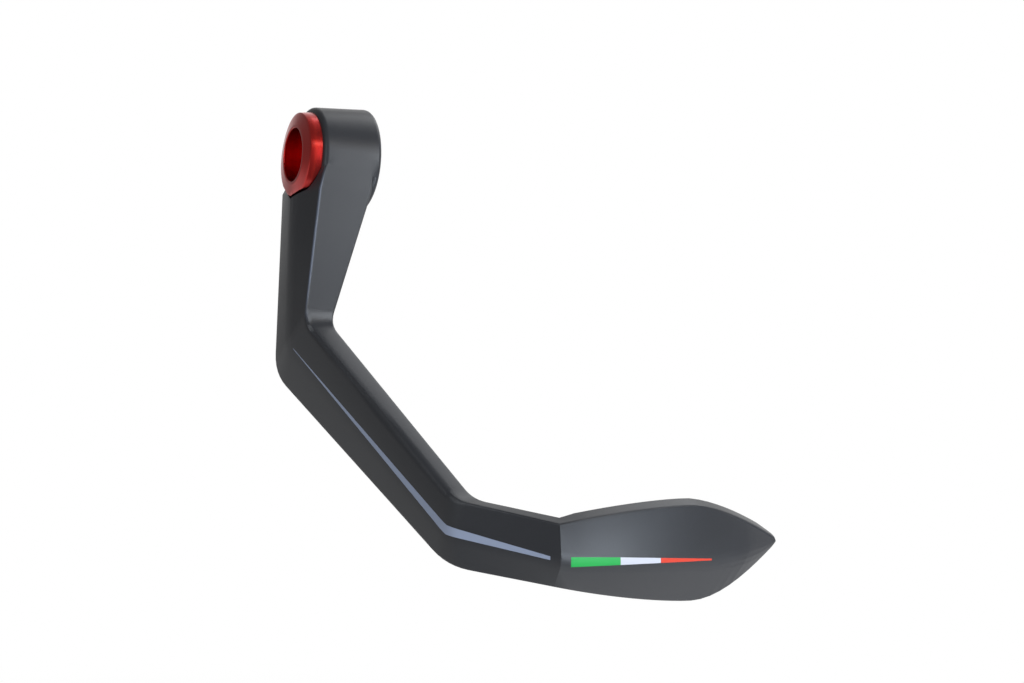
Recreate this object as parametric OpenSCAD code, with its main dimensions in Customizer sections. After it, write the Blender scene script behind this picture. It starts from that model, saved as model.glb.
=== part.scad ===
// Brake lever guard for the bar end of a motorcycle handlebar.
// A one-piece arm carries a drilled eye, two knuckles and a leaf-shaped blade.
// A drop-shaped bar-end insert is seated in a pocket of the eye.
// X runs along the handlebar towards the rider's grip, Z is up, -Y is the front.

/* [Eye] */
// Radius of the round eye of the arm at its outer face
eye_r = 12.8; // [12.2:0.1:16]
// Extra radius of the eye at its inner face
eye_flare = 0.9; // [0:0.1:2]
// Width of the eye along the handlebar
eye_w = 15.6; // [12:0.2:22]
// Rounding of the rims of the eye
eye_round = 1.3; // [0.4:0.1:2]

/* [Bar-end insert] */
// Radius of the bore for the bar-end bolt
bore_r = 7; // [5:0.5:7.5]
// Radius of the shank that sits in the eye
shank_r = 9; // [8.5:0.1:9.5]
// Radius of the round part of the flange
flange_r = 11; // [10.4:0.1:11.2]
// Extra radius of the flange where it meets the eye
flange_flare = 0.4; // [0:0.05:0.5]
// Height of the flange over the face of the eye
flange_h = 4; // [2.5:0.1:6]
// How far the cone on the flange falls towards its rim
flange_cone = 0.95; // [0.3:0.05:1.5]
// Distance from the bore axis to the tip of the pointed nose
nose_len = 11.4; // [11:0.1:12.2]
// Slope of the two flats that meet at the tip of the nose
nose_slope = 21; // [15:1:30]
// Turn of the nose to the rear about the bore axis
nose_turn = 7; // [0:1:15]
// Radial clearance between the insert and the arm
seat_gap = 0.12; // [0.05:0.01:0.4]

/* [Drop leg] */
// Drop from the bore axis to the first knuckle
drop_len = 43.4; // [36:0.2:60]
// How far the first knuckle leans outboard
drop_lean = 1.5; // [0:0.1:4]
// Depth of the drop leg at the first knuckle, measured along its slanted fold
drop_depth = 23.4; // [18:0.1:30]
// Thickness of the leg along the handlebar at the first knuckle
knuckle_t1 = 7.5; // [5:0.1:11]
// Slant of the first fold under the horizontal
drop_slant = 37; // [25:1:50]
// Skew of the first fold away from the grip
drop_skew = 2.9; // [0:0.1:6]
// Height of the crown that runs out of the nose of the insert
nose_crown = 4.1; // [3:0.1:5]

/* [Reach leg] */
// Length of the reach leg between its two knuckles
reach_len = 63.7; // [45:0.1:90]
// Turn of the reach leg towards the grip
reach_yaw = 22.3; // [10:0.1:35]
// Turn of the reach leg to the front
reach_pitch = 44.8; // [35:0.1:55]
// Depth of the reach leg at the second knuckle, measured along its slanted fold
reach_depth = 18; // [13:0.1:24]
// Thickness of the leg along the handlebar at the second knuckle
knuckle_t2 = 5.9; // [4:0.1:9]
// Slant of the second fold under the horizontal
reach_slant = 69; // [55:1:80]
// Skew of the second fold towards the grip
reach_skew = 5; // [0:0.5:10]
// Height of the soft crown along the reach leg
reach_crown = 1.2; // [0.4:0.1:2.5]

/* [Short leg] */
// Length of the short leg that carries the blade
short_len = 26.3; // [18:0.1:40]
// Turn of the short leg towards the grip
short_yaw = 50; // [40:0.5:60]
// Turn of the short leg to the front
short_pitch = 75; // [65:0.5:85]

/* [Blade] */
// Length of the blade
blade_len = 66; // [50:0.5:90]
// Height of the blade at its root
root_depth = 18.9; // [15:0.1:24]
// Skew of the crease at the root of the blade
root_skew = 12; // [0:1:20]
// Tilt of the blade's face, as the pitch of its upper edge
blade_pitch = 62; // [50:1:75]
// Thickness of the blade at its edges
blade_t = 3.3; // [2.5:0.1:5]
// Height of the crown along the middle of the blade
blade_crown = 2.9; // [1.5:0.1:4]
// How far the upper edge rises over the root
shoulder_rise = 4.9; // [2:0.1:8]
// How far the lower edge falls under the root
shoulder_fall = 6.1; // [2:0.1:9]
// Drop of the tip under the upper edge of the root
tip_drop = 6.4; // [4:0.1:12]

/* [Edges] */
// Rounding of the front edge on the drop leg and the blade
edge_crisp = 0.6; // [0.3:0.1:1]
// Rounding of the front edge on the reach leg
edge_soft = 2.4; // [1:0.1:3]
// Rounding of the edges at the back
edge_back = 1.2; // [0.5:0.1:2]
// Rounding of the crown
crown_soft = 3; // [1:0.5:4]

/* [Hidden] */
round_fn = 72;
corner_steps = 3;
knuckle_steps = 6;
span_steps = 4;
blade_steps = 22;
tip_steps = 4;
root_share = 0.6;
tip_half = 0.9;
eps = 0.05;

// Directions of a leg from its turns, and of its front and upper faces.
function leg_dir(yaw, pitch) =
    [sin(yaw), -cos(yaw) * sin(pitch), -cos(yaw) * cos(pitch)];
function face_dir(yaw, pitch) =
    [-cos(yaw), -sin(yaw) * sin(pitch), -sin(yaw) * cos(pitch)];
function edge_dir(pitch) = [0, -cos(pitch), sin(pitch)];
// Direction of a slanted fold, from the front edge of the leg to its rear edge.
function fold_dir(slant, skew) =
    [sin(skew), cos(skew) * cos(slant), -cos(skew) * sin(slant)];
function unit(v) = v / norm(v);
function mix(a, b, t) = a + (b - a) * t;

blade_face = [0, -sin(blade_pitch), -cos(blade_pitch)];
blade_up = edge_dir(blade_pitch);

// A section is five corners: front edge, crown, rear edge, rear back, front back.
function section(edge, across, back, share, crown) =
    [edge, edge + across * share + crown, edge + across,
     edge + across + back, edge + back];

// Radius of the disc that the flange is cut from, and where its flat nose starts.
nose_r = flange_r + flange_flare;
nose_flat = 0.72 * nose_r;
reach_r = 2 * nose_r;

// Two sections blend the leg into the eye, and a third lies under the nose.
// Below the axis the front face of the leg runs on from the side of the eye.
hub_in = 1.7;
hub_back = eye_w - 2.2 * hub_in;
hub_z = 0.08 * eye_r;
hub = section([hub_in, 0.7 - eye_r, -hub_z], [0, 2 * (eye_r - 0.7), 0],
    [hub_back, 0, 0], 0.5, [-0.3, 0, 0]);
blend_z = 0.31 * eye_r;
blend_front = 0.45 - eye_r;
blend_back = eye_w - 1.8;
blend_sink = 0.25;
collar = [
    [blend_sink, blend_front, -blend_z],
    [blend_sink / 2, 0, -blend_z],
    [blend_sink, eye_r - 0.6, -blend_z],
    [blend_back, eye_r + 0.4 * eye_flare - 0.6, -blend_z],
    [blend_back, blend_front - 0.8 * eye_flare, -blend_z]];
neck_z = 0.73 * eye_r;
neck_in = eye_r - 1.15;
neck_out = eye_r + 0.2;
neck_rise = 0.5 * nose_crown;
neck = [
    [-0.45, -neck_in, -neck_z],
    [-nose_crown, 0, -neck_z],
    [-neck_rise, neck_out, -neck_z],
    [blend_back, neck_out, -neck_z],
    [blend_back, -neck_in - 0.6 * eye_flare, -neck_z]];

// The three knuckles, found by walking along the front edge.
fold_1 = fold_dir(drop_slant, -drop_skew);
fold_2 = fold_dir(reach_slant, reach_skew);
fold_3 = fold_dir(blade_pitch, root_skew);
knee = [-drop_lean, -eye_r * 0.547, -drop_len];
knuckle_1 = section(knee, fold_1 * drop_depth, [knuckle_t1, 0, 0], 0.45,
    0.6 * reach_crown * face_dir(reach_yaw / 2, reach_pitch / 2));
elbow = knee + reach_len * leg_dir(reach_yaw, reach_pitch);
knuckle_2 = section(elbow, fold_2 * reach_depth, [knuckle_t2, 0, 0], 0.5,
    reach_crown * face_dir((reach_yaw + short_yaw) / 2, (reach_pitch + short_pitch) / 2));
root = elbow + short_len * leg_dir(short_yaw, short_pitch);
root_fold = fold_3 * root_depth;
knuckle_3 = section(root, root_fold, unit([0.4, 0.83, 0.42]) * blade_t, 0.5,
    blade_crown * blade_face);

// Upper and lower edge of the blade, as heights over the root's front edge.
upper_share = 0.55;
lower_share = 0.69;
edge_power = 1.6;
root_x = root_fold[0];
root_low = -root_fold * blade_up;
function upper_edge(x) = let (peak = upper_share * blade_len)
    x < peak ? shoulder_rise * (1 - pow(1 - x / peak, edge_power))
    : shoulder_rise - (shoulder_rise + tip_drop - tip_half)
        * pow((x - peak) / (blade_len - peak), 1.5);
function lower_edge(x) = let (low = lower_share * blade_len)
    x < low ? -root_low - shoulder_fall
        * (1 - pow(1 - max(0, x - root_x) / (low - root_x), edge_power))
    : -root_low - shoulder_fall + (root_low + shoulder_fall - tip_drop - tip_half)
        * pow((x - low) / (blade_len - low), 2.15);
// Height of the crown line over the root's front edge.
ridge_root = -0.55 * root_low;
ridge_low = ridge_root - 0.5;
function ridge(x) = let (low = lower_share * blade_len)
    x < low ? mix(ridge_root, ridge_low, x / low)
    : mix(ridge_low, -tip_drop, pow((x - low) / (blade_len - low), 1.4));
// One section of the blade: x along its length, squeezed at the rounded tip.
function blade_section(x, squeeze, skew) =
    let (top = upper_edge(x), low = lower_edge(x + skew), mid = (top + low) / 2,
        half = (top - low) / 2 * squeeze,
        peak = max(low + 0.3 * half, min(top - 0.3 * half, ridge(x))),
        crown = blade_crown * min(1, half / (root_low / 2)),
        thick = blade_t * (0.97 + 0.2 * x / blade_len) * (0.35 + 0.65 * min(1, 3 * half / root_low)))
    [root + [x, 0, 0] + (mid + half) * blade_up,
     root + [x + skew / 2, 0, 0] + peak * blade_up + crown * blade_face,
     root + [x + skew, 0, 0] + (mid - half) * blade_up,
     root + [x + skew, 0, 0] + (mid - half) * blade_up - thick * blade_face,
     root + [x, 0, 0] + (mid + half) * blade_up - thick * blade_face];

// Rounded knuckle: each corner's path is cut short by its own run and bent.
runs = [3.6, 2.2, 5.6, 5.6, 3.2];
function bend(a, p, b, run, t) =
    let (u = min(0.4, run / norm(a - p)), v = min(0.4, run / norm(b - p)))
    mix(mix(mix(p, a, u), p, t), mix(p, mix(p, b, v), t), t);
function knuckle(before, at, after) =
    [for (s = [0:knuckle_steps])
        [for (k = [0:4]) bend(before[k], at[k], after[k], runs[k], s / knuckle_steps)]];
function span(from, to) =
    [for (s = [1:span_steps - 1])
        [for (k = [0:4]) mix(from[k], to[k], s / span_steps)]];

bend_1 = knuckle(neck, knuckle_1, knuckle_2);
bend_2 = knuckle(knuckle_1, knuckle_2, knuckle_3);

// Radii of the five corners on each stretch of the arm.
radii_drop = [edge_crisp, crown_soft, edge_back, edge_back, edge_back];
radii_reach = [edge_soft, crown_soft, edge_back, edge_back, edge_back];
radii_blade = [edge_crisp, crown_soft, edge_crisp, edge_crisp, edge_crisp];

// All sections in order, each with its corner radii.
function tag(list, radii) = [for (s = list) [s, radii]];
function tag_mix(list, r0, r1) =
    [for (i = [0:len(list) - 1]) [list[i], mix(r0, r1, (i + 1) / (len(list) + 1))]];
first_x = 1.2;
body_len = blade_len - tip_half;
blade_body = [for (i = [1:blade_steps])
    let (t = i / blade_steps, x = mix(first_x, body_len, 1 - pow(1 - t, 1.35)))
    blade_section(x, 1, root_x * pow(1 - t, 3))];
blade_tip = [for (i = [1:tip_steps])
    let (a = 72 * i / tip_steps)
    blade_section(body_len + tip_half * sin(a), cos(a), 0)];
stations = concat(
    tag([hub, collar, neck], radii_drop),
    tag(span(neck, bend_1[0]), radii_drop),
    tag_mix(bend_1, radii_drop, radii_reach),
    tag(span(bend_1[knuckle_steps], bend_2[0]), radii_reach),
    tag_mix(bend_2, radii_reach, radii_blade),
    tag(span(bend_2[knuckle_steps], knuckle_3), radii_blade),
    [[knuckle_3, radii_blade]],
    tag(blade_body, radii_blade),
    tag(blade_tip, radii_blade));

// One corner rounded towards its two neighbours.
function corner(a, p, b, r) =
    let (u = min(r / norm(a - p), 0.45), v = min(r / norm(b - p), 0.45))
    [for (i = [0:corner_steps]) let (t = i / corner_steps)
        mix(mix(mix(p, a, u), p, t), mix(p, mix(p, b, v), t), t)];
function ring(station) =
    let (c = station[0], r = station[1])
    [for (k = [0:4]) each corner(c[(k + 4) % 5], c[k], c[(k + 1) % 5], r[k])];

function middle(r) = [for (k = [0:2]) [for (p = r) p[k]] * [for (p = r) 1] / len(r)];

module loft(list) {
    per = len(list[0]);
    last = len(list) - 1;
    count = per * (last + 1);
    points = concat([for (r = list) each r], [middle(list[0]), middle(list[last])]);
    walls = [for (i = [0:last - 1]) for (j = [0:per - 1])
        let (a = i * per + j, b = i * per + (j + 1) % per)
        each [[a, b + per, b], [a, a + per, b + per]]];
    caps = [for (j = [0:per - 1])
        let (k = (j + 1) % per)
        each [[j, k, count], [last * per + k, last * per + j, count + 1]]];
    polyhedron(points, concat(walls, caps));
}

// Turns a profile drawn in radius and length so that its axis is the bore axis.
module along_bar() {
    rotate([0, 90, 0]) children();
}

// Outline of the flange seen along the bore: a disc that two flats cut to a nose.
module drop_outline(disc_r, tip) {
    reach = 4 * disc_r;
    run = reach * cos(nose_slope);
    rise = reach * sin(nose_slope);
    rotate(nose_turn) intersection() {
        circle(r = disc_r, $fn = round_fn);
        polygon([[tip, 0], [tip - rise, run], [-reach, reach],
            [-reach, -reach], [tip - rise, -run]]);
    }
}

module pocket() {
    along_bar() translate([0, 0, -2 * flange_h])
        linear_extrude(2 * flange_h)
        drop_outline(nose_r + seat_gap, nose_len + seat_gap);
    along_bar() translate([0, 0, -eps])
        cylinder(r = shank_r + seat_gap, h = eye_w + 2 * eps, $fn = round_fn);
}

module eye() {
    r = eye_round;
    inner_r = eye_r + eye_flare;
    along_bar() rotate_extrude($fn = round_fn)
        polygon([[0, 0],
            for (i = [0:4]) let (a = 90 * i / 4)
                [eye_r - r + r * sin(a), r - r * cos(a)],
            for (i = [0:4]) let (a = 90 * i / 4)
                [inner_r - r + r * cos(a), eye_w - r + r * sin(a)],
            [0, eye_w]]);
}

module guard_arm() {
    color([0.2, 0.2, 0.22])
    difference() {
        union() {
            eye();
            loft([for (s = stations) ring(s)]);
        }
        pocket();
    }
}

module bar_end_insert() {
    shank_len = eye_w - 0.2;
    rim_r = bore_r + 0.25;
    color([0.7, 0.05, 0.06])
    difference() {
        union() {
            intersection() {
                along_bar() rotate_extrude($fn = round_fn)
                    polygon([[0, -flange_h], [rim_r, -flange_h],
                        [flange_r, -flange_h + flange_cone], [nose_r, 0],
                        [0, 0]]);
                along_bar() translate([0, 0, -2 * flange_h])
                    linear_extrude(2 * flange_h) drop_outline(nose_r, nose_len);
            }
            along_bar() translate([0, 0, -flange_h])
                linear_extrude(flange_h)
                intersection() {
                    drop_outline(nose_r, nose_len);
                    rotate(nose_turn) translate([nose_flat, -reach_r])
                        square(2 * reach_r);
                }
            along_bar() translate([0, 0, -eps])
                cylinder(r = shank_r, h = shank_len + eps, $fn = round_fn);
        }
        along_bar() translate([0, 0, -2 * flange_h])
            cylinder(r = bore_r, h = eye_w + 4 * flange_h, $fn = round_fn);
    }
}

guard_arm();
bar_end_insert();
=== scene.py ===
# %% [markdown]
# # A brake lever guard in satin black and red
# The guard is clamped to the end of a motorcycle's handlebar and keeps the
# brake lever from being pushed in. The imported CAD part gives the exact
# shapes. This notebook dresses them: a smooth skin over the facets, two
# anodised finishes, painted stripes, a studio, and a camera that stands
# where the photographer stood.

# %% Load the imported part
import math

import bmesh
import bpy
from mathutils import Matrix, Vector


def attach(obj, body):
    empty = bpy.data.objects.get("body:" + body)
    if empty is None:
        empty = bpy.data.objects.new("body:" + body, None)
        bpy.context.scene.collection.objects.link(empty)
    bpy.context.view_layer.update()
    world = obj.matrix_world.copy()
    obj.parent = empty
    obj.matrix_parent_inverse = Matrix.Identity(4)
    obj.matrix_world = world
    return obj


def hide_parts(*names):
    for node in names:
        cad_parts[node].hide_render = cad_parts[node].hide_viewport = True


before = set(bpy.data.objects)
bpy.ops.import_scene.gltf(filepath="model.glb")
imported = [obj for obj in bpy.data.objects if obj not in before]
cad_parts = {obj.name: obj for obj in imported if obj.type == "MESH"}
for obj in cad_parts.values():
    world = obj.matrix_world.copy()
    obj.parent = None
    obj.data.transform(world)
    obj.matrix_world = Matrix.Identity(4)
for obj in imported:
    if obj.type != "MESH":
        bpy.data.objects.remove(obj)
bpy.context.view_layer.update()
MM = 0.001
print("CAD nodes:", sorted(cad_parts))

# %% [markdown]
# ## Writing shader maths as expressions
# A material is a graph of nodes, and long sums are hard to follow as nodes.
# The class below wraps one socket. Its operators add Math nodes, so a mask
# can be written as `1 - mask`. Every other node comes from `node`, which
# takes the settings first and the inputs second.

# %% A socket that can be added, multiplied and compared
class Wire:
    def __init__(self, tree, socket):
        self.tree = tree
        self.socket = socket

    def math(self, operation, *others, clamp=False):
        maths = self.tree.nodes.new("ShaderNodeMath")
        maths.operation = operation
        maths.use_clamp = clamp
        for place, value in enumerate((self, *others)):
            plug(self.tree, maths.inputs[place], value)
        return Wire(self.tree, maths.outputs[0])

    def __add__(self, other):
        return self.math("ADD", other)

    def __sub__(self, other):
        return self.math("SUBTRACT", other)

    def __rsub__(self, other):
        return Wire.math_of(self.tree, other).math("SUBTRACT", self)

    def __mul__(self, other):
        return self.math("MULTIPLY", other)

    __radd__ = __add__
    __rmul__ = __mul__

    @staticmethod
    def math_of(tree, number):
        value = tree.nodes.new("ShaderNodeValue")
        value.outputs[0].default_value = number
        return Wire(tree, value.outputs[0])

    def least(self, other):
        return self.math("MINIMUM", other)

    def most(self, other):
        return self.math("MAXIMUM", other)

    def between_0_and_1(self):
        return self.math("ADD", 0.0, clamp=True)


def plug(tree, inlet, value):
    if isinstance(value, Wire):
        tree.links.new(value.socket, inlet)
    else:
        inlet.default_value = value


class Finish:
    """A material with a Principled shader, and one method that adds any node."""

    def __init__(self, name):
        self.material = bpy.data.materials.new(name)
        self.material.use_nodes = True
        self.tree = self.material.node_tree
        self.shader = self.tree.nodes["Principled BSDF"]

    def node(self, kind, settings=None, inputs=None, output=0):
        made = self.tree.nodes.new(kind)
        for name, value in (settings or {}).items():
            setattr(made, name, value)
        for name, value in (inputs or {}).items():
            plug(self.tree, made.inputs[name], value)
        return Wire(self.tree, made.outputs[output])

    def place(self):
        return self.node("ShaderNodeTexCoord", output="Object")

    def tint(self, mask, off, on):
        return self.node("ShaderNodeMix", {"data_type": "RGBA"},
                         {"Factor": mask, 6: off, 7: on}, output=2)

    def set(self, **values):
        for name, value in values.items():
            plug(self.tree, self.shader.inputs[name.replace("_", " ")], value)


def srgb(red, green, blue):
    """A colour read from the photograph as 0 to 255, as the linear colour of a shader."""
    def linear(c):
        c /= 255
        return c / 12.92 if c <= 0.04045 else ((c + 0.055) / 1.055) ** 2.4
    return (linear(red), linear(green), linear(blue), 1.0)


print("satin black as a linear colour:", [round(c, 3) for c in srgb(52, 53, 56)])

# %% [markdown]
# ## A smooth skin over the arm
# The real arm is milled and tumbled, so its folds and edges are soft. The
# CAD solid is built from flat facets. A copy of its mesh is merged into one
# closed surface, and its normals are smoothed wherever neighbouring facets
# meet at less than a chosen angle. Plain smoothing would bend the light on
# the wide flat sides as well, so a Weighted Normal modifier lets the large
# facets decide: the flats stay flat and only the narrow edges are round.

# %% Copy the arm's mesh and smooth its normals
def settle(piece, modifier):
    """Keep what a modifier makes as the piece's own mesh."""
    seen_by = bpy.context.evaluated_depsgraph_get()
    made = bpy.data.meshes.new_from_object(
        piece.evaluated_get(seen_by), preserve_all_data_layers=True, depsgraph=seen_by)
    piece.modifiers.remove(modifier)
    piece.data = made
    made.name = piece.name


SMOOTH_BELOW = math.radians(27)
arm_mesh = bpy.data.meshes.new("arm_work")
work = bmesh.new()
work.from_mesh(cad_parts["guard_arm"].data)
bmesh.ops.remove_doubles(work, verts=work.verts, dist=1e-6)
for edge in work.edges:
    edge.smooth = edge.calc_face_angle(math.pi) < SMOOTH_BELOW
for face in work.faces:
    face.smooth = True
work.to_mesh(arm_mesh)
work.free()
arm_skin = bpy.data.objects.new("guard_arm_skin", arm_mesh)
bpy.context.scene.collection.objects.link(arm_skin)
even_flats = arm_skin.modifiers.new("even_flats", "WEIGHTED_NORMAL")
even_flats.keep_sharp = True
settle(arm_skin, even_flats)

# %% [markdown]
# Below the eye the leg grows out of the barrel without a line. The CAD
# surfaces meet there at a small angle, so the corners that lie on the
# barrel get the barrel's own normal. On the lower front the normal is held
# level at first, because the leg's flat side goes straight on from there.
# Angles are counted from the front, and the eye's sizes are millimetres.

# %% Let the leg flow out of the barrel
EYE_LOW, EYE_HIGH, EYE_START, EYE_RUN = 12.8, 13.7, 1.3, 13.0
LEVEL_UNTIL, ROUND_FROM = 0.15, 0.75


def flow_from_barrel(mesh, reach_deg):
    normals = [Vector(corner.vector) for corner in mesh.corner_normals]
    moved = 0
    for corner, loop in enumerate(mesh.loops):
        spot = mesh.vertices[loop.vertex_index].co / MM
        radius = math.hypot(spot.y, spot.z)
        barrel = EYE_LOW + (EYE_HIGH - EYE_LOW) * (spot.x - EYE_START) / EYE_RUN
        if not 0.1 < spot.x - EYE_START < EYE_RUN - 0.1 or abs(radius - barrel) > 0.04:
            continue
        turned = math.atan2(spot.z, -spot.y)
        if -ROUND_FROM < turned < 0:
            turned *= max(0.0, (-turned - LEVEL_UNTIL) / (ROUND_FROM - LEVEL_UNTIL))
        round_way = Vector((-(EYE_HIGH - EYE_LOW) / EYE_RUN, -math.cos(turned), math.sin(turned)))
        if normals[corner].angle(round_way) < math.radians(reach_deg):
            normals[corner] = round_way.normalized()
            moved += 1
    mesh.normals_split_custom_set(normals)
    return moved


print("corners given the barrel's normal:", flow_from_barrel(arm_skin.data, 38))

# %% [markdown]
# The front edge of the upper leg is far crisper than the others, and it
# catches a thin line of light. Its radius stays, but the turn from one side
# to the other is squeezed into the middle third of the rounding. The middle
# of the rounding also gets a value for the finish to read, which paints a
# paler line there as a painted highlight. It fades out above the first knuckle.

# %% Squeeze the turn of the front edge and mask its painted highlight
OUTER_SIDE, FRONT_SIDE = (-0.974, -0.213, 0.076), (-0.024, -0.999, -0.041)
# Where the painted highlight on the front edge stops, and how far it fades, in mm.
HIGHLIGHT_ENDS, HIGHLIGHT_FADES_OVER = -43.0, 6.0


def squeeze_edge(mesh, side_a, side_b, low_z, high_z, share=0.34):
    side_a, side_b = Vector(side_a).normalized(), Vector(side_b).normalized()
    whole = side_a.angle(side_b)
    normals = [Vector(corner.vector) for corner in mesh.corner_normals]
    painted_edge_highlight = mesh.attributes.new("painted_edge_highlight", "FLOAT", "POINT")
    moved = 0
    for corner, loop in enumerate(mesh.loops):
        spot = mesh.vertices[loop.vertex_index].co / MM
        if not low_z < spot.z < high_z or spot.y > -6 or spot.x > 5:
            continue
        turned = side_a.angle(normals[corner])
        if turned + side_b.angle(normals[corner]) > whole * 1.04:
            continue
        # The middle of the rounding gets the mask of the painted highlight.
        if 0.2 < turned / whole < 0.8:
            above_end = (spot.z - HIGHLIGHT_ENDS) / HIGHLIGHT_FADES_OVER
            painted_edge_highlight.data[loop.vertex_index].value = min(max(above_end, 0.0), 1.0)
        part = min(max((turned / whole - 0.5) / share + 0.5, 0.0), 1.0)
        normals[corner] = side_a.slerp(side_b, part)
        moved += 1
    mesh.normals_split_custom_set(normals)
    return moved


print("corners squeezed:", squeeze_edge(arm_skin.data, OUTER_SIDE, FRONT_SIDE, -47, -7))

# %% [markdown]
# The blade's two long facets are slightly crowned, along the blade and from
# edge to edge, so their tone changes from bright at the crease to dark near
# the tip. The normals alone carry it. They lean towards the tip, by some 3
# degrees at the crease and 18 at the tip, and the outline stays.

# %% Crown the blade's facets
BLADE_OUT, BLADE_UP = Vector((0.0, -0.883, -0.469)), Vector((0.0, -0.469, 0.883))
BLADE_FROM_X, RIDGE = 46.5, Vector((40, -62.5, -99.0))


def crown_blade(mesh, length, half_width, along_turn, across_turn):
    normals = [Vector(corner.vector) for corner in mesh.corner_normals]
    moved = 0
    for face in mesh.polygons:
        if face.center.x / MM < BLADE_FROM_X or face.normal.dot(BLADE_OUT) < 0.9:
            continue
        for corner in face.loop_indices:
            spot = mesh.vertices[mesh.loops[corner].vertex_index].co / MM
            reach = spot - RIDGE
            turned = normals[corner] + Vector((reach.x / length * along_turn, 0, 0))
            turned += BLADE_UP * (reach.dot(BLADE_UP) / half_width * across_turn)
            normals[corner] = turned.normalized()
            moved += 1
    mesh.normals_split_custom_set(normals)
    return moved


print("corners crowned:", crown_blade(arm_skin.data, 60, 14, 0.31, 0.08))
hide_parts("guard_arm")
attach(arm_skin, "root")
print("the arm's skin has", len(arm_skin.data.polygons), "faces")

# %% [markdown]
# ## The insert as a turned rule
# The insert is one profile turned round the bore, and two flats cut its
# flange to a nose. That is a rule, so Geometry Nodes make it. The profile
# is a row of points, given as distance along the bore and distance from it.

# %% The profile of the insert, in millimetres
BORE, SHANK, RIM, BASE = 7.0, 9.0, 11.0, 11.4
PROFILE = [(-3.84, BORE), (-3.96, BORE + 0.1), (-4.0, BORE + 0.28)]
PROFILE += [(-4.0 + 0.92 * t / 6, BORE + 0.28 + (RIM - 0.15 - BORE - 0.28) * t / 6)
            for t in range(1, 7)]
PROFILE += [(-3.0, RIM - 0.02), (-2.85, RIM + 0.03), (-1.4, RIM + 0.22), (0.0, BASE),
            (0.0, SHANK), (15.4, SHANK), (15.4, BORE), (-3.84, BORE)]

# %% [markdown]
# The tree lays a grid of rows and columns: the row picks a point of the
# profile, the column picks the angle. The two flats then limit how far a
# point may stand from the axis at its angle. The front face lies a little
# shallower on the side of the nose, as the photograph's outline shows. The
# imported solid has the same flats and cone, but its nose is a flat plate.
# Here the cone runs on over the nose, as it does in the photograph.

# %% The tree of the insert
rule = bpy.data.node_groups.new("turned_insert", "GeometryNodeTree")
for name, kind in (("Profile", "NodeSocketGeometry"), ("Columns", "NodeSocketInt"),
                   ("Nose tip", "NodeSocketFloat"), ("Rear lean", "NodeSocketFloat"),
                   ("Front lean", "NodeSocketFloat"), ("Nose turn", "NodeSocketFloat"),
                   ("Face lift", "NodeSocketFloat"), ("Lift side", "NodeSocketFloat"),
                   ("Crease", "NodeSocketFloat"), ("Finish", "NodeSocketMaterial")):
    rule.interface.new_socket(name, in_out="INPUT", socket_type=kind)
rule.interface.new_socket("Insert", in_out="OUTPUT", socket_type="NodeSocketGeometry")


def rule_node(kind, settings=None, inputs=None, output=0):
    made = rule.nodes.new(kind)
    for name, value in (settings or {}).items():
        setattr(made, name, value)
    for name, value in (inputs or {}).items():
        plug(rule, made.inputs[name], value)
    return Wire(rule, made.outputs[output])


given = rule.nodes.new("NodeGroupInput")
want = {socket.name: Wire(rule, socket) for socket in given.outputs if socket.name}
rows = rule_node("GeometryNodeAttributeDomainSize", None, {"Geometry": want["Profile"]})
around = want["Columns"] + 1
sheet = rule_node("GeometryNodeMeshGrid", None, {"Vertices X": rows, "Vertices Y": around})
number = rule_node("GeometryNodeInputIndex")
row = (number * 1.0).math("DIVIDE", around).math("FLOOR")
column = number - row * around
point = rule_node("GeometryNodeSampleIndex", {"data_type": "FLOAT_VECTOR"},
                  {"Geometry": want["Profile"], "Index": row,
                   "Value": rule_node("GeometryNodeInputPosition")})
along = rule_node("ShaderNodeSeparateXYZ", None, {"Vector": point}, output="X")
out = Wire(rule, along.socket.node.outputs["Y"])
angle = (column * (2 * math.pi)).math("DIVIDE", want["Columns"])
for side, lean in ((1, want["Rear lean"]), (-1, want["Front lean"])):
    facing = (angle - want["Nose turn"] - lean * side).math("COSINE").most(0.05)
    limit = (want["Nose tip"] * lean.math("COSINE")).math("DIVIDE", facing)
    out = out.least(limit)
near_nose = (angle - want["Lift side"]).math("COSINE").most(0.0)
on_face = ((out - RIM * MM * 0.66) * (1 / (RIM * MM * 0.34))).between_0_and_1()
on_front = ((0 - along) * (1 / (1.4 * MM)) - 1).between_0_and_1()
along = along - want["Face lift"] * near_nose * near_nose * on_face * on_front
spot = rule_node("ShaderNodeCombineXYZ", None,
                 {"X": along, "Y": out * angle.math("SINE"), "Z": out * (0 - angle.math("COSINE"))})
shape = rule_node("GeometryNodeSetPosition", None, {"Geometry": sheet, "Position": spot})
shape = rule_node("GeometryNodeMergeByDistance", None, {"Geometry": shape, "Distance": 2e-6})
shape = rule_node("GeometryNodeSetShadeSmooth", None, {"Geometry": shape, "Shade Smooth": True})
bend = rule_node("GeometryNodeInputMeshEdgeAngle")
shape = rule_node("GeometryNodeSetShadeSmooth", {"domain": "EDGE"},
                  {"Geometry": shape, "Shade Smooth": False,
                   "Selection": bend.math("GREATER_THAN", want["Crease"])})
shape = rule_node("GeometryNodeRealizeInstances", None, {"Geometry": shape})
shape = rule_node("GeometryNodeSetMaterial", None, {"Geometry": shape, "Material": want["Finish"]})
plug(rule, rule.nodes.new("NodeGroupOutput").inputs[0], shape)
print("the insert's tree has", len(rule.nodes), "nodes")

# %% [markdown]
# The tree's sizes are set by the identifier of each input, because a
# modifier doesn't know its inputs by name. The result is kept as a plain
# mesh. If the profile was turned inside out, its volume comes out negative,
# and then the faces are reversed.

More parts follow.
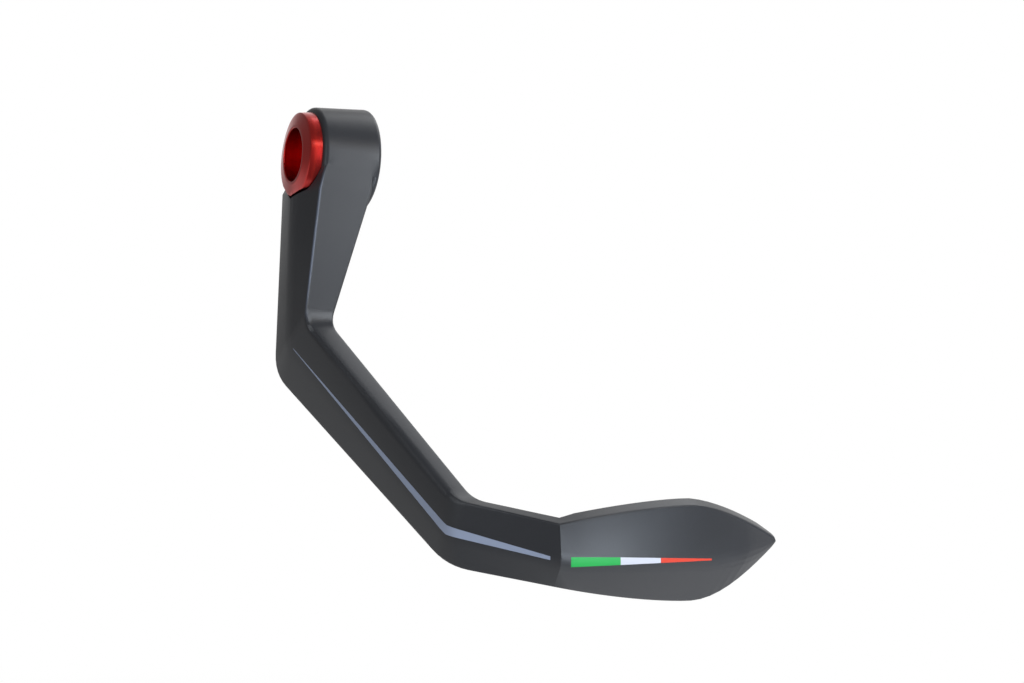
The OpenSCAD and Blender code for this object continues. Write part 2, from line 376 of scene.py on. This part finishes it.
# %% Turn the insert
profile_mesh = bpy.data.meshes.new("insert_profile")
profile_mesh.from_pydata([(x * MM, r * MM, 0) for x, r in PROFILE],
                         [(n, n + 1) for n in range(len(PROFILE) - 1)], [])
red = Finish("red_anodised_turned")
insert_skin = bpy.data.objects.new("insert_skin", profile_mesh)
bpy.context.scene.collection.objects.link(insert_skin)
turning = insert_skin.modifiers.new("turning", "NODES")
turning.node_group = rule
names = {item.name: item.identifier for item in rule.interface.items_tree
         if item.item_type == "SOCKET" and item.in_out == "INPUT"}
for name, value in (("Columns", 240), ("Nose tip", 11.25 * MM), ("Rear lean", math.radians(18)),
                    ("Front lean", math.radians(27)), ("Nose turn", math.radians(18)),
                    ("Face lift", 0.45 * MM), ("Lift side", math.radians(48)),
                    ("Crease", math.radians(34)), ("Finish", red.material)):
    turning[names[name]] = value
settle(insert_skin, turning)
check = bmesh.new()
check.from_mesh(insert_skin.data)
if check.calc_volume(signed=True) < 0:
    bmesh.ops.reverse_faces(check, faces=check.faces)
    check.to_mesh(insert_skin.data)
print("the insert's volume in mm3:", round(check.calc_volume() / MM ** 3))
check.free()
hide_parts("bar_end_insert")
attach(insert_skin, "root")

# %% [markdown]
# ## Stripes that are painted, not modelled
# A grey-blue stripe grows along the arm from a point, bends at the second
# knuckle and stops short of the blade. A tricolour stripe tapers along the
# middle of the blade. Each stripe is cut into patches with straight sides.
# A side is a plane that stands on the arm's face, so the signed distance to
# it is one dot product, and the smallest distance to all sides is a mask.
# Object coordinates are used, so the stripes stay put in every view.

# %% The mask of one patch with straight sides
def patch(finish, corners, facing, depth=2.5, soft=0.06, lap=0.0):
    """The mask of a patch. The side after the first corner moves out by the lap."""
    points = [Vector(c) for c in corners]
    facing = Vector(facing).normalized()
    middle = sum(points, Vector()) / len(points)
    place = finish.place()

    def side(normal, through, width):
        normal = normal.normalized()
        if normal.dot(middle - through) < 0:
            normal = -normal
        reach = finish.node("ShaderNodeVectorMath", {"operation": "DOT_PRODUCT"},
                            {0: place, 1: normal / (MM * width)}, output="Value")
        return reach - normal.dot(through) / width

    mask = side(facing, middle - facing * depth, soft)
    for place_in_turn, (start, end) in enumerate(zip(points, points[1:] + points[:1])):
        distance = side((end - start).cross(facing), start, soft)
        if lap and place_in_turn == 1:
            distance = distance + lap / soft
        mask = mask.least(distance)
    return mask.between_0_and_1()


# %% Where the stripes lie on the arm, in millimetres
GREY_START = ((-1.75, -0.45, -50.1), (-2.05, -0.75, -50.7))
GREY_BEND = ((22.4, -45.9, -91.6), (22.7, -45.1, -94.0))
GREY_END = ((42.5, -61.5, -97.6), (42.8, -61.0, -98.6))
REACH_FACING = (-0.93, -0.27, -0.27)
SHORT_FACING = (-0.72, -0.67, -0.19)
FLAG_TOP = ((47.2, -63.1, -97.7), (61.1, -63.1, -98.1),
            (72.9, -62.9, -98.5), (88.4, -62.7, -99.1))
FLAG_LOW = ((48.0, -61.9, -100.3), (61.8, -62.1, -100.1),
            (73.4, -62.3, -99.9), (88.6, -62.4, -99.6))
STRIPE_GREY = srgb(156, 167, 191)
STRIPE_COLOURS = (srgb(0, 170, 70), srgb(208, 211, 222), srgb(224, 60, 34))
print("the tricolour stripe's length in mm:", round(FLAG_TOP[-1][0] - FLAG_TOP[0][0], 1))

# %% [markdown]
# ## Satin black anodising
# The arm is aluminium with a fine blasted grain under a black anodised
# layer. The layer is not metallic to the eye: it has a dark body colour and
# a broad, soft gloss. A noise a fifth of a millimetre across gives the grain
# through a Bump node, and a large, faint noise varies the gloss as handling
# does. A paler line is painted along the front edge as a highlight, where
# the rounded edge catches light.

# %% The arm's finish
black = Finish("satin_black_anodised")
place = black.place()
grain = black.node("ShaderNodeTexNoise", None,
                   {"Vector": place, "Scale": 5200.0, "Detail": 2.0, "Roughness": 0.6})
cloud = black.node("ShaderNodeTexNoise", None,
                   {"Vector": place, "Scale": 60.0, "Detail": 3.0, "Roughness": 0.5})
body_colour = black.tint(cloud, srgb(40, 41, 44), srgb(47, 48, 52))
grain_mask = ((grain - 0.5) * 1.6 + 0.5).between_0_and_1()
body_colour = black.tint(grain_mask * 0.35, body_colour, srgb(56, 58, 63))
# A paler line painted along the front edge: a painted highlight.
edge_highlight_mask = black.node("ShaderNodeAttribute", {"attribute_name": "painted_edge_highlight"}, output="Fac")
body_colour = black.tint(edge_highlight_mask * (0.55 + grain * 0.6), body_colour, srgb(92, 100, 116))

grey_stripe = patch(black, (GREY_START[0], GREY_BEND[0], GREY_BEND[1], GREY_START[1]),
                    REACH_FACING, lap=0.12)
grey_stripe = grey_stripe.most(
    patch(black, (GREY_BEND[0], GREY_END[0], GREY_END[1], GREY_BEND[1]), SHORT_FACING))
coloured = black.tint(grey_stripe, body_colour, STRIPE_GREY)
painted = grey_stripe
for band, paint in enumerate(STRIPE_COLOURS):
    block = patch(black, (FLAG_TOP[band], FLAG_TOP[band + 1], FLAG_LOW[band + 1], FLAG_LOW[band]),
                  BLADE_OUT)
    coloured = black.tint(block, coloured, paint)
    painted = painted.most(block)

grain_bump = black.node("ShaderNodeBump", None,
                        {"Strength": 0.3, "Distance": 0.00004, "Height": grain})
black.set(Base_Color=coloured, Roughness=0.37 + (cloud - 0.5) * 0.1 + painted * 0.1 - edge_highlight_mask * 0.06,
          Normal=grain_bump, Metallic=0.0, IOR=1.42)
arm_skin.data.materials.clear()
arm_skin.data.materials.append(black.material)
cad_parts["guard_arm"].data.materials.clear()
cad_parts["guard_arm"].data.materials.append(black.material)
print("the arm's finish has", len(black.tree.nodes), "nodes")

# %% [markdown]
# ## Turned and red anodised aluminium
# The insert is turned on a lathe and then dyed red, so it is a metal whose
# reflections are red. A clear oxide layer on top adds a paler gloss where
# the white surroundings are mirrored. The tool leaves rings around the axis.
# On every surface of a turned piece such a ring has one length along the
# axis and one radius, so a noise that reads only those two numbers draws the
# rings on the flange, the cone and the bore at once.

# %% The insert's finish
along_axis = red.node("ShaderNodeSeparateXYZ", None, {"Vector": red.place()}, output="X")
across = Wire(red.tree, along_axis.socket.node.outputs["Y"])
upward = Wire(red.tree, along_axis.socket.node.outputs["Z"])
radius = (across * across + upward * upward).math("SQRT")
ring_place = red.node("ShaderNodeCombineXYZ", None, {"X": along_axis, "Y": radius})
rings = red.node("ShaderNodeTexNoise", None,
                 {"Vector": ring_place, "Scale": 2400.0, "Detail": 1.0, "Roughness": 0.5})
broad_rings = red.node("ShaderNodeTexNoise", None,
                       {"Vector": ring_place, "Scale": 900.0, "Detail": 1.0})
ring_bump = red.node("ShaderNodeBump", None,
                     {"Strength": 0.1, "Distance": 0.00001, "Height": rings + broad_rings * 0.5})
dye = red.tint(broad_rings, srgb(166, 6, 20), srgb(218, 48, 34))
red.set(Base_Color=dye, Roughness=0.27 + rings * 0.06, Normal=ring_bump, Metallic=1.0,
        Coat_Weight=0.5, Coat_Roughness=0.2, Coat_IOR=1.6)
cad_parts["bar_end_insert"].data.materials.clear()
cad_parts["bar_end_insert"].data.materials.append(red.material)
print("the insert's finish has", len(red.tree.nodes), "nodes")

# %% [markdown]
# ## The studio
# The photograph is a cut-out on white. A satin black object shows mostly
# what it mirrors, so the surroundings decide how it reads. The room is dim.
# A white backdrop stands behind, to the right. Camera rays see its white,
# glossy and transmission rays see it where it stands, and it adds nothing
# to the light that falls on the guard.

# %% White surroundings
WHITE, ROOM_LIGHT = (1.0, 1.0, 1.0, 1.0), 0.22
BACKDROP_WAY = Vector((0.75, 0.65, 0.15)).normalized()
world = bpy.data.worlds.new("studio_air")
bpy.context.scene.world = world
world.use_nodes = True
air = world.node_tree
sky = air.nodes["Background"]
sky.inputs["Color"].default_value = WHITE
look = Wire(air, air.nodes.new("ShaderNodeTexCoord").outputs["Generated"])
turn = air.nodes.new("ShaderNodeVectorMath")
turn.operation = "DOT_PRODUCT"
plug(air, turn.inputs[0], look)
turn.inputs[1].default_value = BACKDROP_WAY
backdrop = ((Wire(air, turn.outputs["Value"]) - 0.4) * 2.4).between_0_and_1()
path = air.nodes.new("ShaderNodeLightPath")
by_camera = Wire(air, path.outputs["Is Camera Ray"])
by_gloss = Wire(air, path.outputs["Is Glossy Ray"])
by_glass = Wire(air, path.outputs["Is Transmission Ray"])
seen = by_camera.most(by_glass).most(by_gloss * backdrop)
plug(air, sky.inputs["Strength"], (1 - seen) * ROOM_LIGHT + seen)
print("light of the room:", ROOM_LIGHT)

# %% [markdown]
# The pale floor starts just in front of the guard. Further forward it would
# be mirrored by the faces that look down, which the photograph shows dark.
# Camera rays see it nearly white and far off fully white, so no horizon
# shows, and the rest of the mix keeps the guard's shadow.

# %% The pale floor
floor_finish = Finish("pale_floor")
floor_finish.set(Base_Color=(0.82, 0.82, 0.82, 1), Roughness=0.9)
shade = floor_finish.tree
path = shade.nodes.new("ShaderNodeLightPath")
seen = Wire(shade, path.outputs["Is Camera Ray"]).most(
    Wire(shade, path.outputs["Is Transmission Ray"])).most(
    Wire(shade, path.outputs["Is Glossy Ray"]) * 0.6)
white = shade.nodes.new("ShaderNodeEmission")
white.inputs["Color"].default_value = WHITE
blend = shade.nodes.new("ShaderNodeMixShader")
away = shade.nodes.new("ShaderNodeVectorMath")
away.operation = "LENGTH"
plug(shade, away.inputs[0], floor_finish.place())
far = ((Wire(shade, away.outputs["Value"]) - 0.5) * 0.6).between_0_and_1()
plug(shade, blend.inputs[0], seen * (far * 0.08 + 0.92))
shade.links.new(floor_finish.shader.outputs[0], blend.inputs[1])
shade.links.new(white.outputs[0], blend.inputs[2])
shade.links.new(blend.outputs[0], shade.nodes["Material Output"].inputs["Surface"])
floor_mesh = bpy.data.meshes.new("floor")
edge, front, level = 12.0, -0.19, -0.55
floor_mesh.from_pydata(
    [(-edge, front, level), (edge, front, level), (edge, edge, level), (-edge, edge, level)],
    [], [(0, 1, 2, 3)])
floor = bpy.data.objects.new("floor", floor_mesh)
floor_mesh.materials.append(floor_finish.material)
bpy.context.scene.collection.objects.link(floor)
print("the floor lies at", level, "m")

# %% [markdown]
# Five soft boxes light the guard. A broad, cool one in front, a little to
# the right, makes the side of the arm paler than its crowned outer face. A
# narrow, warm one above it draws the band on the red ring. A small one low
# in front lights the blade, a weak one hangs over the top, and a tall strip
# on the left draws the rim. Each is set by its brightness and not by its
# power, so its size can change without the highlights growing brighter.

# %% Soft boxes
AIM = Vector((0.03, -0.03, -0.06))


def soft_box(name, direction, distance, size, glow, colour=(1, 1, 1)):
    """A lamp of a stated brightness: its power is the glow times pi times its area."""
    lamp = bpy.data.lights.new(name, "AREA")
    lamp.shape = "RECTANGLE"
    lamp.size, lamp.size_y = size
    lamp.energy = glow * math.pi * size[0] * size[1]
    lamp.color = colour
    box = bpy.data.objects.new(name, lamp)
    away = Vector(direction).normalized()
    box.location = AIM + away * distance
    box.rotation_mode = "QUATERNION"
    box.rotation_quaternion = (-away).to_track_quat("-Z", "Y")
    box.visible_camera = False
    bpy.context.scene.collection.objects.link(box)
    print(name, "has", round(lamp.energy, 1), "watts")
    return box


soft_box("front_box", (0.46, -0.87, 0.13), 1.2, (0.6, 0.7), 9.0, (0.89, 0.94, 1.0))
soft_box("band_box", (0.15, -0.87, 0.5), 1.2, (0.5, 0.14), 3.6, (1.0, 0.86, 0.7))
soft_box("low_box", (0.54, -0.6, -0.59), 0.5, (0.16, 0.14), 12.0, (0.8, 0.89, 1.0))
soft_box("top_box", (0.5, 0.1, 0.85), 1.2, (0.8, 0.8), 2.6, (0.96, 0.98, 1.0))
soft_box("left_strip", (-0.8, -0.5, 0.05), 1.1, (0.16, 0.9), 6.0, (0.9, 0.95, 1.0))

# %% [markdown]
# ## The camera
# The camera's place was solved from the photograph: the ellipse of the bore
# gives the direction of the handlebar, and the folds of the arm give the
# rest. It looks along the bar almost level, from the front and the outer
# end, with a lens of about 53 mm on a 36 mm sensor.

# %% Put the camera where the photographer stood
camera = bpy.data.objects.new("camera", bpy.data.cameras.new("camera"))
camera.data.lens = 52.73
camera.data.sensor_width = 36.0
camera.data.clip_start = 0.01
right_hand = Vector((0.8824, -0.469, 0.0381)).normalized()
backward = Vector((-0.4685, -0.8832, -0.0203)).normalized()
upward_dir = backward.cross(right_hand).normalized()
turn = Matrix((right_hand, upward_dir, backward)).transposed()
camera.rotation_mode = "QUATERNION"
camera.rotation_quaternion = turn.to_quaternion()
camera.location = Vector((-134.3, -371.2, -54.3)) * MM
bpy.context.scene.collection.objects.link(camera)
bpy.context.scene.camera = camera
bpy.context.scene.view_settings.view_transform = "Standard"
print("the camera's lens in mm:", round(camera.data.lens, 1))
